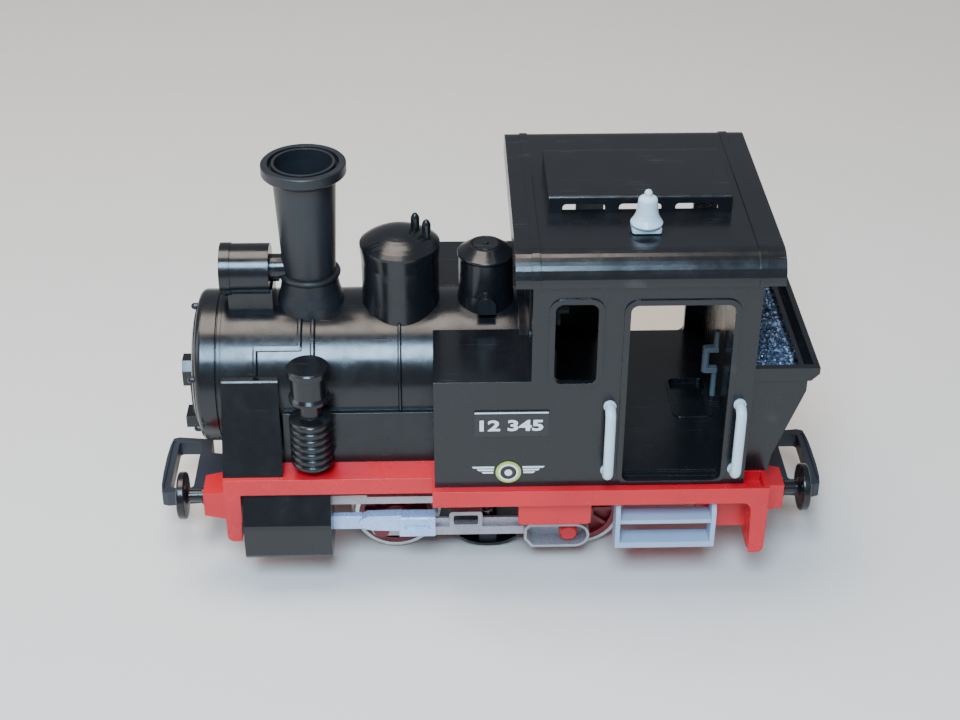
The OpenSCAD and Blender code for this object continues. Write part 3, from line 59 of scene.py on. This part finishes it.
class Shader:
    """A principled material and short calls that add nodes to it."""

    def __init__(self, name, base, rough, metallic=0.0):
        self.material = bpy.data.materials.new(name)
        self.material.use_nodes = True
        self.tree = self.material.node_tree
        self.bsdf = self.tree.nodes["Principled BSDF"]
        self.bsdf.inputs["Base Color"].default_value = (*base, 1)
        self.bsdf.inputs["Roughness"].default_value = rough
        self.bsdf.inputs["Metallic"].default_value = metallic
        self.coord = self.add("ShaderNodeTexCoord").outputs["Object"]
        self.height = None

    def add(self, kind, **settings):
        node = self.tree.nodes.new(kind)
        for key, value in settings.items():
            if key in node.inputs:
                node.inputs[key].default_value = value
            else:
                setattr(node, key, value)
        return node

    def link(self, source, target):
        self.tree.links.new(source, target)

    def stretched(self, scale):
        node = self.add("ShaderNodeMapping")
        node.inputs["Scale"].default_value = scale
        self.link(self.coord, node.inputs["Vector"])
        return node.outputs["Vector"]

    def noise(self, scale, detail=3.0, roughness=0.5, vector=None):
        node = self.add("ShaderNodeTexNoise", Scale=scale, Detail=detail, Roughness=roughness)
        self.link(vector or self.coord, node.inputs["Vector"])
        return node.outputs["Fac"]

    def voronoi(self, scale, output="Distance", feature="F1", vector=None):
        node = self.add("ShaderNodeTexVoronoi", feature=feature)
        node.inputs["Scale"].default_value = scale
        self.link(vector or self.coord, node.inputs["Vector"])
        return node.outputs[output]

    def remap(self, value, low, high, out_low, out_high):
        node = self.add("ShaderNodeMapRange")
        self.link(value, node.inputs["Value"])
        for key, number in (("From Min", low), ("From Max", high), ("To Min", out_low), ("To Max", out_high)):
            node.inputs[key].default_value = number
        return node.outputs["Result"]

    def math(self, operation, a, b):
        node = self.add("ShaderNodeMath", operation=operation)
        for socket, value in zip(node.inputs, (a, b)):
            if isinstance(value, (int, float)):
                socket.default_value = value
            else:
                self.link(value, socket)
        return node.outputs["Value"]

    def mix(self, factor, a, b):
        node = self.add("ShaderNodeMix", data_type="RGBA")
        self.link(factor, node.inputs[0])
        for socket, value in ((node.inputs[6], a), (node.inputs[7], b)):
            if isinstance(value, tuple):
                socket.default_value = (*value, 1)
            else:
                self.link(value, socket)
        return node.outputs[2]

    def colour(self, source):
        self.link(source, self.bsdf.inputs["Base Color"])

    def roughness(self, source):
        self.link(source, self.bsdf.inputs["Roughness"])

    def bump(self, source, depth, strength=1.0):
        """Adds a height layer; depth is in metres."""
        scaled = self.math("MULTIPLY", source, strength * depth)
        self.height = scaled if self.height is None else self.math("ADD", self.height, scaled)

    def finish(self, edge=0.0):
        """Joins the height layers and softens sharp edges by the radius edge."""
        normal = None
        if edge:
            bevel = self.add("ShaderNodeBevel", samples=4)
            bevel.inputs["Radius"].default_value = edge
            normal = bevel.outputs["Normal"]
        if self.height is not None:
            bump = self.add("ShaderNodeBump")
            bump.inputs["Strength"].default_value = 1
            bump.inputs["Distance"].default_value = 1
            self.link(self.height, bump.inputs["Height"])
            if normal:
                self.link(normal, bump.inputs["Normal"])
            normal = bump.outputs["Normal"]
        if normal:
            self.link(normal, self.bsdf.inputs["Normal"])
        return self.material


def tinted(colour, factor):
    """A colour made lighter or darker, with no channel above 1."""
    return tuple(min(1, c * factor) for c in colour)


def scratches(shader, share):
    """Fine crossing hairlines: 1 on a scratch, 0 elsewhere. share is how much of each band they keep."""
    lines = None
    for turn in (0.5, 1.9, 2.7):
        mapping = shader.add("ShaderNodeMapping")
        mapping.inputs["Rotation"].default_value = (turn, turn * 1.7, turn * 0.6)
        mapping.inputs["Scale"].default_value = (30, 900, 30)
        shader.link(shader.coord, mapping.inputs["Vector"])
        streak = shader.noise(1.0, detail=1, vector=mapping.outputs["Vector"])
        line = shader.remap(streak, 0.72 - share, 0.76 - share, 0, 1)
        lines = line if lines is None else shader.math("MAXIMUM", lines, line)
    gate = shader.remap(shader.noise(55, detail=2), 0.54, 0.66, 0, 1)
    return shader.math("MULTIPLY", lines, gate)


def moulded(name, base, rough=0.25, dust=0.5, edge=0.35 * MM, scratch=0.0, peel=1.0, fine=2600):
    """Injection-moulded plastic: faint flow clouds, fine texture, dust and handling marks."""
    s = Shader(name, base, rough)
    cloud = s.remap(s.noise(28, detail=4), 0.3, 0.7, 0, 1)
    colour = s.mix(cloud, tinted(base, 0.9), tinted(base, 1.1))
    specks = s.remap(s.voronoi(700), 0.0, 0.07, dust, 0)
    grey = (0.42, 0.42, 0.41)
    colour = s.mix(s.math("MULTIPLY", specks, 0.35), colour, grey)
    smear = s.remap(s.noise(90, detail=5, roughness=0.65), 0.35, 0.75, 0, 1)
    roughness = s.math("ADD", s.math("MULTIPLY", smear, 0.16), rough - 0.05)
    if scratch:
        marks = scratches(s, scratch)
        roughness = s.math("ADD", roughness, s.math("MULTIPLY", marks, 0.14))
        colour = s.mix(s.math("MULTIPLY", marks, 0.05), colour, grey)
    s.roughness(roughness)
    s.colour(colour)
    s.bump(s.noise(fine, detail=2), 0.006 * MM, peel)
    s.bump(s.noise(160, detail=1), 0.03 * MM, peel)
    return s.finish(edge)


def layered(name, base, rough, ring_scale=378.93):
    """Satin plastic with fine level rings, about 0.83 mm apart at the usual scale."""
    s = Shader(name, base, rough)
    wave = s.add("ShaderNodeTexWave", wave_type="BANDS", bands_direction="Z")
    wave.inputs["Scale"].default_value = ring_scale
    wave.inputs["Distortion"].default_value = 0.2
    s.link(s.coord, wave.inputs["Vector"])
    ring = wave.outputs["Fac"]
    cloud = s.remap(s.noise(40, detail=4), 0.3, 0.7, 0, 1)
    s.colour(s.mix(cloud, tinted(base, 0.8), tinted(base, 1.3)))
    s.roughness(s.remap(ring, 0, 1, rough - 0.06, rough + 0.1))
    s.bump(ring, 0.035 * MM)
    s.bump(s.noise(1800, detail=2), 0.012 * MM)
    return s.finish(0.3 * MM)


def metallic_plastic(name, base, rough, flake=1600, sparkle=0.5, metallic=0.35):
    """Plastic with metal flakes moulded in."""
    s = Shader(name, base, rough, metallic)
    cells = s.voronoi(flake, output="Color")
    tone = s.add("ShaderNodeSeparateColor")
    s.link(cells, tone.inputs["Color"])
    bright = s.remap(tone.outputs["Red"], 0.55, 1, 0, sparkle)
    cloud = s.remap(s.noise(60, detail=4), 0.3, 0.7, 0, 1)
    colour = s.mix(cloud, tinted(base, 0.85), tinted(base, 1.15))
    s.colour(s.mix(bright, colour, tinted(base, 1.7)))
    s.roughness(s.remap(tone.outputs["Green"], 0, 1, rough - 0.1, rough + 0.15))
    s.bump(tone.outputs["Blue"], 0.012 * MM)
    s.bump(s.noise(300, detail=2), 0.02 * MM)
    return s.finish(0.3 * MM)


def bare_metal(name, base, rough, grain=(400, 400, 400), metallic=1.0, tarnish=0.75):
    """Turned or drawn metal with a grain, smears and dull spots."""
    s = Shader(name, base, rough, metallic)
    lines = s.noise(1.0, detail=4, vector=s.stretched(grain))
    blotch = s.remap(s.noise(70, detail=5, roughness=0.7), 0.45, 0.75, 0, 1)
    s.colour(s.mix(blotch, base, tinted(base, tarnish)))
    s.roughness(s.math("ADD", s.math("MULTIPLY", lines, 0.22), rough - 0.08))
    s.bump(lines, 0.01 * MM)
    return s.finish(0.15 * MM)


def coal_black(name, base):
    """Broken coal: dark facets, with painted highlights standing in for the glitter of a few facets."""
    s = Shader(name, base, 0.3)
    cells = s.add("ShaderNodeSeparateColor")
    s.link(s.voronoi(900, output="Color"), cells.inputs["Color"])
    # painted highlight mask: the brightest cells get a glint painted into the colour
    painted_glint = s.remap(cells.outputs["Red"], 0.74, 0.92, 0, 1)
    grit = s.remap(s.noise(500, detail=5), 0.35, 0.7, 0, 1)
    dark = s.mix(grit, tinted(base, 0.5), tinted(base, 1.5))
    # pale blue painted glint: reflected blue light mixed into the base colour of those cells
    s.colour(s.mix(painted_glint, dark, (0.30, 0.38, 0.52)))
    s.roughness(s.remap(cells.outputs["Green"], 0, 1, 0.08, 0.5))
    s.bump(s.noise(900, detail=4), 0.12 * MM)
    s.bump(cells.outputs["Blue"], 0.05 * MM)
    return s.finish()


def clear_glass(name, base, rough=0.03):
    """Clear glass with shallow moulded rings."""
    s = Shader(name, base, rough)
    s.bsdf.inputs["Transmission Weight"].default_value = 0.85
    s.bsdf.inputs["IOR"].default_value = 1.46
    s.roughness(s.remap(s.noise(300, detail=3), 0.4, 0.8, rough, rough + 0.12))
    rings = s.add("ShaderNodeTexWave", wave_type="RINGS", rings_direction="X")
    rings.inputs["Scale"].default_value = 160
    s.link(s.coord, rings.inputs["Vector"])
    s.bump(rings.outputs["Fac"], 0.02 * MM)
    return s.finish()


def circuit_board(name, base):
    """Lacquered board with a grid of copper tracks."""
    s = Shader(name, base, 0.4)
    brick = s.add("ShaderNodeTexBrick", Scale=120)
    s.link(s.coord, brick.inputs["Vector"])
    s.colour(s.mix(brick.outputs["Fac"], base, (0.55, 0.45, 0.15)))
    s.roughness(s.remap(s.noise(200), 0.3, 0.7, 0.3, 0.5))
    s.bump(brick.outputs["Fac"], 0.03 * MM)
    return s.finish()


def plain_floor(name, base):
    """Pale floor with a barely visible mottle."""
    s = Shader(name, base, 0.5)
    s.colour(s.mix(s.noise(4, detail=4), tinted(base, 0.985), tinted(base, 1.01)))
    s.roughness(s.remap(s.noise(60), 0.3, 0.7, 0.45, 0.6))
    s.bump(s.noise(900, detail=3), 0.01 * MM)
    return s.finish()


MATERIALS = {
    "body_black": moulded("body_black", (0.0065, 0.0070, 0.0085), 0.22, dust=0.12, scratch=0.03, peel=0.6),
    "chimney_black": layered("chimney_black", (0.013, 0.014, 0.017), 0.36),
    "frame_red": moulded("frame_red", (0.62, 0.008, 0.018), 0.22, dust=0.1, scratch=0.02, peel=0.7),
    "wheel_red": moulded("wheel_red", (0.20, 0.018, 0.022), 0.4, dust=0.6),
    "rod_grey": metallic_plastic("rod_grey", (0.42, 0.41, 0.44), 0.36, sparkle=0.2),
    "crosshead_silver": metallic_plastic("crosshead_silver", (0.44, 0.60, 0.92), 0.34, sparkle=0.15),
    "rail_white": moulded("rail_white", (0.52, 0.64, 0.71), 0.3, dust=0.15),
    "step_grey": moulded("step_grey", (0.33, 0.44, 0.58), 0.4, dust=0.2, peel=2.0),
    "lever_grey": moulded("lever_grey", (0.15, 0.17, 0.19), 0.4),
    "coupler_black": moulded("coupler_black", (0.022, 0.026, 0.034), 0.4, dust=0.5, scratch=0.03),
    "tyre_metal": bare_metal("tyre_metal", (0.62, 0.60, 0.57), 0.28, grain=(300, 1500, 300)),
    "steel": bare_metal("steel", (0.55, 0.54, 0.53), 0.3),
    "bronze": bare_metal("bronze", (0.62, 0.44, 0.20), 0.38),
    "motor_black": moulded("motor_black", (0.02, 0.02, 0.022), 0.5, peel=2.0),
    "motor_steel": bare_metal("motor_steel", (0.45, 0.45, 0.47), 0.35, grain=(2000, 200, 200)),
    "ballast_iron": bare_metal("ballast_iron", (0.22, 0.22, 0.23), 0.55, grain=(500, 500, 500)),
    "board_green": circuit_board("board_green", (0.02, 0.14, 0.06)),
    # coal colour raised and tinted blue: the coal's own dark tone with part of the blue light's reflection
    # painted in
    "coal": coal_black("coal", (0.050, 0.070, 0.110)),
    "shoe_dark": bare_metal("shoe_dark", (0.07, 0.07, 0.075), 0.42),
    "winding": bare_metal("winding", (0.50, 0.24, 0.12), 0.4, grain=(3000, 300, 300)),
    "lens_clear": clear_glass("lens_clear", (0.92, 0.95, 0.94)),
    "bulb_glass": clear_glass("bulb_glass", (0.98, 0.90, 0.72)),
    "plate_black": moulded("plate_black", (0.014, 0.014, 0.015), 0.22),
    "emblem_colour": moulded("emblem_colour", (0.42, 0.50, 0.10), 0.3, dust=0.4),
}
PRINT_WHITE = moulded("print_white", (0.78, 0.80, 0.79), 0.4, dust=0.5, edge=0, fine=4000)

for part in RECORD["subparts"]:
    node = NODES[part["node"]]
    node.data.materials.clear()
    node.data.materials.append(MATERIALS[part["material_slot"]])


# ------------------------------------------------------------------ new pieces

def new_piece(name, mesh, body, slot, material=None, replaces=()):
    """Adds a mesh that rides a body, with its slot's material unless another is given."""
    piece = bpy.data.objects.new(name, mesh)
    bpy.context.scene.collection.objects.link(piece)
    mesh.materials.append(material or MATERIALS[slot])
    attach(piece, body)
    if replaces:
        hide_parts(*replaces)
    return piece


def coal_heap():
    """Angular lumps heaped in the bunker, inside the box of the CAD heap."""
    low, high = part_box("coal_load")
    rng = random.Random(11)
    bm = bmesh.new()
    margin = 1.6 * MM
    bed_margin = 0.1 * MM
    bed_top = high.z - 5.2 * MM
    layer_rise = 0.8 * MM
    layers = 2
    columns = 10
    rows = 46
    span_x = high.x - low.x - 2 * margin
    span_y = high.y - low.y - 2 * margin
    for layer in range(layers):
        for i in range(columns):
            for j in range(rows):
                size = rng.uniform(1.4, 2.6) * MM
                x = low.x + margin + span_x * (i + rng.uniform(-0.3, 0.3) + 0.5) / columns
                y = low.y + margin + span_y * (j + rng.uniform(-0.4, 0.4) + 0.5) / rows
                x = min(max(x, low.x + margin), high.x - margin)
                y = min(max(y, low.y + margin), high.y - margin)
                swell = 1.6 * MM * (0.5 + 0.5 * math.sin(y * 95) * math.cos(x * 160))
                z = bed_top + swell + layer * layer_rise + rng.uniform(-0.4, 0.5) * MM
                turn = Euler([rng.uniform(0, math.tau) for _ in range(3)]).to_matrix().to_4x4()
                made = bmesh.ops.create_icosphere(bm, subdivisions=1, radius=size / 2,
                                                  matrix=Matrix.Translation((x, y, z)) @ turn)
                for vert in made["verts"]:
                    centre = Vector((x, y, z))
                    vert.co = centre + (vert.co - centre) * rng.uniform(0.62, 1.18)
    bed = bmesh.ops.create_grid(bm, x_segments=24, y_segments=100, size=0.5)
    for vert in bed["verts"]:
        vert.co.x = low.x + bed_margin + (vert.co.x + 0.5) * (high.x - low.x - 2 * bed_margin)
        vert.co.y = low.y + bed_margin + (vert.co.y + 0.5) * (high.y - low.y - 2 * bed_margin)
        vert.co.z = bed_top + rng.uniform(-0.4, 0.4) * MM
    top = high.z - 0.05 * MM
    for vert in bm.verts:
        vert.co.z = min(vert.co.z, top)
    mesh = bpy.data.meshes.new("coal_heap")
    bm.to_mesh(mesh)
    bm.free()
    new_piece("coal_heap", mesh, "chassis", "coal", replaces=("coal_load",))


def tube(name, points, radius, sides=10):
    """Mesh tube along a list of points."""
    bm = bmesh.new()
    rings = []
    for k, point in enumerate(points):
        ahead = points[min(k + 1, len(points) - 1)]
        behind = points[max(k - 1, 0)]
        along = (ahead - behind).normalized()
        side = along.cross(Vector((0, 0, 1)))
        if side.length < 1e-6:
            side = along.cross(Vector((1, 0, 0)))
        side.normalize()
        up = side.cross(along)
        rings.append([bm.verts.new(point + radius * (math.cos(a) * side + math.sin(a) * up))
                      for a in (math.tau * n / sides for n in range(sides))])
    for a, b in zip(rings, rings[1:]):
        for n in range(sides):
            bm.faces.new((a[n], a[(n + 1) % sides], b[(n + 1) % sides], b[n]))
    bm.faces.new(rings[0][::-1])
    bm.faces.new(rings[-1])
    bmesh.ops.recalc_face_normals(bm, faces=bm.faces)
    mesh = bpy.data.meshes.new(name)
    bm.to_mesh(mesh)
    bm.free()
    mesh.shade_smooth()
    return mesh


def coil_spring(node, turns=11):
    """Coil of round wire that fills the box of the plain CAD spring."""
    low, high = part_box(node)
    centre = (low + high) / 2
    wire = 0.3 * MM
    radius = (high.x - low.x) / 2 - wire
    steps_per_turn = 20
    steps = turns * steps_per_turn
    points = []
    for k in range(steps + 1):
        t = k / steps
        angle = math.tau * turns * t
        z = low.z + wire + (high.z - low.z - 2 * wire) * t
        points.append(Vector((centre.x + radius * math.cos(angle), centre.y + radius * math.sin(angle), z)))
    mesh = tube(node + "_coil", points, wire, 8)
    new_piece(node + "_coil", mesh, "chassis", "steel", replaces=(node,))


def flat_print(name, outline, y, side, thickness=0.12 * MM):
    """Thin raised shape from X-Z points, facing the given side."""
    bm = bmesh.new()
    front = [bm.verts.new((x, side * (y + thickness), z)) for x, z in outline]
    face = bm.faces.new(front)
    back = bmesh.ops.extrude_face_region(bm, geom=[face])
    for item in back["geom"]:
        if isinstance(item, bmesh.types.BMVert):
            item.co.y = side * y
    bmesh.ops.recalc_face_normals(bm, faces=bm.faces)
    mesh = bpy.data.meshes.new(name)
    bm.to_mesh(mesh)
    bm.free()
    return mesh


def plate_digits(label):
    """Generic running number, filling the plate."""
    side = SIDES[label]
    low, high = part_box("number_plates")
    word = bpy.data.curves.new("digits", "FONT")
    word.body = "12 345"
    word.size = 1
    word.offset = 0.035
    word.resolution_u = 3
    holder = bpy.data.objects.new("digits", word)
    bpy.context.scene.collection.objects.link(holder)
    bpy.context.view_layer.update()
    mesh = bpy.data.meshes.new_from_object(holder)
    bpy.data.objects.remove(holder)
    xs = [v.co.x for v in mesh.vertices]
    ys = [v.co.y for v in mesh.vertices]
    width = 26.6 * MM
    height = 5.6 * MM
    middle = (low.x + high.x) / 2
    bottom = low.z + 2.9 * MM
    lift = 0.12 * MM
    for vert in mesh.vertices:
        u = (vert.co.x - min(xs)) / (max(xs) - min(xs)) - 0.5
        v = (vert.co.y - min(ys)) / (max(ys) - min(ys))
        vert.co = Vector((middle - side * u * width, side * (high.y + lift), bottom + v * height))
    mesh.update()
    new_piece("digits_" + label, mesh, "chassis", "plate_black", PRINT_WHITE)


def plate_edging(label):
    """White line along the top of the plate."""
    low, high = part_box("number_plates")
    inset = 0.3 * MM
    line = 0.6 * MM
    left, right = low.x + inset, high.x - inset
    top = high.z - inset
    outline = [(left, top - line), (right, top - line), (right, top), (left, top)]
    name = "plate_edging_" + label
    new_piece(name, flat_print(name, outline, high.y, SIDES[label]), "chassis", "plate_black", PRINT_WHITE)


def ring_print(name, centre_x, centre_z, inner, outer, y, side):
    """Thin raised ring, or a disc when inner is 0."""
    steps = 48
    raised = y + 0.1 * MM
    bm = bmesh.new()
    loops = []
    for radius, level in ((outer, y), (outer, raised), (inner, raised), (inner, y)):
        if radius:
            loops.append([bm.verts.new((centre_x + radius * math.cos(math.tau * k / steps), side * level,
                                        centre_z + radius * math.sin(math.tau * k / steps)))
                          for k in range(steps)])
    following = loops[1:] + loops[:1] if inner else loops[1:]
    for a, b in zip(loops, following):
        for k in range(steps):
            bm.faces.new((a[k], a[(k + 1) % steps], b[(k + 1) % steps], b[k]))
    if not inner:
        bm.faces.new(loops[0])
        bm.faces.new(loops[1])
    bmesh.ops.recalc_face_normals(bm, faces=bm.faces)
    mesh = bpy.data.meshes.new(name)
    bm.to_mesh(mesh)
    bm.free()
    return mesh


def emblem_print(label):
    """Black disc with a plain dot in a white ring, and three stripes on each wing."""
    side = SIDES[label]
    low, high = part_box("emblems")
    x = (low.x + high.x) / 2
    z = (low.z + high.z) / 2
    ring = ring_print("emblem_ring_" + label, x, z, 3.5 * MM, 4.3 * MM, high.y, side)
    new_piece("emblem_ring_" + label, ring, "chassis", "emblem_colour", PRINT_WHITE)
    centre = ring_print("emblem_centre_" + label, x, z, 0, 3.4 * MM, high.y, side)
    new_piece("emblem_centre_" + label, centre, "chassis", "emblem_colour", MATERIALS["plate_black"])
    dot = ring_print("emblem_dot_" + label, x, z, 0, 1.6 * MM, high.y + 0.12 * MM, side)
    new_piece("emblem_dot_" + label, dot, "chassis", "emblem_colour", PRINT_WHITE)
    emblem_depth = 0.6 * MM
    half_stripe = 0.42 * MM
    wings = bmesh.new()
    for way in (-1, 1):
        for k in range(3):
            start = x + way * (6.0 + 0.2 * k) * MM
            end = x + way * (15.4 - 2.0 * k) * MM
            level = z + (2.3 - 1.35 * k) * MM
            outline = [(start, level - half_stripe), (end - way * 0.8 * MM, level - half_stripe),
                       (end, level + half_stripe), (start, level + half_stripe)]
            stripe = flat_print("stripe", outline, high.y - emblem_depth, side)
            wings.from_mesh(stripe)
            bpy.data.meshes.remove(stripe)
    mesh = bpy.data.meshes.new("emblem_wings_" + label)
    wings.to_mesh(mesh)
    wings.free()
    new_piece("emblem_wings_" + label, mesh, "chassis", "emblem_colour", PRINT_WHITE)


coal_heap()
for spring in ("pickup_spring_left", "pickup_spring_right"):
    coil_spring(spring)
for label in SIDES:
    plate_digits(label)
    plate_edging(label)
    emblem_print(label)


# ------------------------------------------------------------------ stage

def studio():
    """Pale floor, soft sky and three square lights."""
    floor_mesh = bpy.data.meshes.new("floor")
    reach = 3.0
    floor_mesh.from_pydata([(-reach, -reach, 0), (reach, -reach, 0), (reach, reach, 0), (-reach, reach, 0)],
                           [], [(0, 1, 2, 3)])
    floor = bpy.data.objects.new("floor", floor_mesh)
    floor_mesh.materials.append(plain_floor("floor_pale", (0.84, 0.77, 0.70)))
    bpy.context.scene.collection.objects.link(floor)
    world = bpy.data.worlds.new("studio")
    bpy.context.scene.world = world
    world.use_nodes = True
    background = world.node_tree.nodes["Background"]
    background.inputs["Color"].default_value = (0.90, 0.94, 1.0, 1)
    background.inputs["Strength"].default_value = 0.34
    # name, place, aim, side length, watts, colour
    lights = (
        ("key", (-0.12, -0.82, 0.98), (0.0, 0.0, 0.10), 0.42, 24.0, (0.50, 0.75, 1.0)),
        ("top", (-0.25, 0.10, 1.5), (0.0, 0.0, 0.05), 0.8, 18.0, (1.0, 0.88, 0.76)),
        ("left", (-1.0, -0.2, 0.6), (-0.05, 0.0, 0.08), 0.6, 4.0, (0.85, 0.92, 1.0)),
    )
    for name, place, aim, size, power, colour in lights:
        data = bpy.data.lights.new(name, "AREA")
        data.shape = "SQUARE"
        data.size = size
        data.energy = power
        data.color = colour
        lamp = bpy.data.objects.new(name, data)
        lamp.location = place
        lamp.rotation_euler = (Vector(aim) - Vector(place)).to_track_quat("-Z", "Y").to_euler()
        bpy.context.scene.collection.objects.link(lamp)


def camera():
    """Camera placed by its height, tilt, turn and roll."""
    place = Vector((-22.13, -626.74, 487.41)) * MM
    tilt = math.radians(32.65)
    turn = math.radians(1.55)
    roll = math.radians(0.13)
    forward = Vector((math.sin(turn) * math.cos(tilt), math.cos(turn) * math.cos(tilt), -math.sin(tilt)))
    right = forward.cross(Vector((0, 0, 1))).normalized()
    up = right.cross(forward)
    right, up = (right * math.cos(roll) + up * math.sin(roll),
                 up * math.cos(roll) - right * math.sin(roll))
    data = bpy.data.cameras.new("camera")
    data.lens = 62.2
    data.sensor_width = 36
    data.clip_start = 0.01
    view = bpy.data.objects.new("camera", data)
    turned = Matrix((right, up, -forward)).transposed().to_4x4()
    view.matrix_world = Matrix.Translation(place) @ turned
    bpy.context.scene.collection.objects.link(view)
    bpy.context.scene.camera = view


studio()
camera()
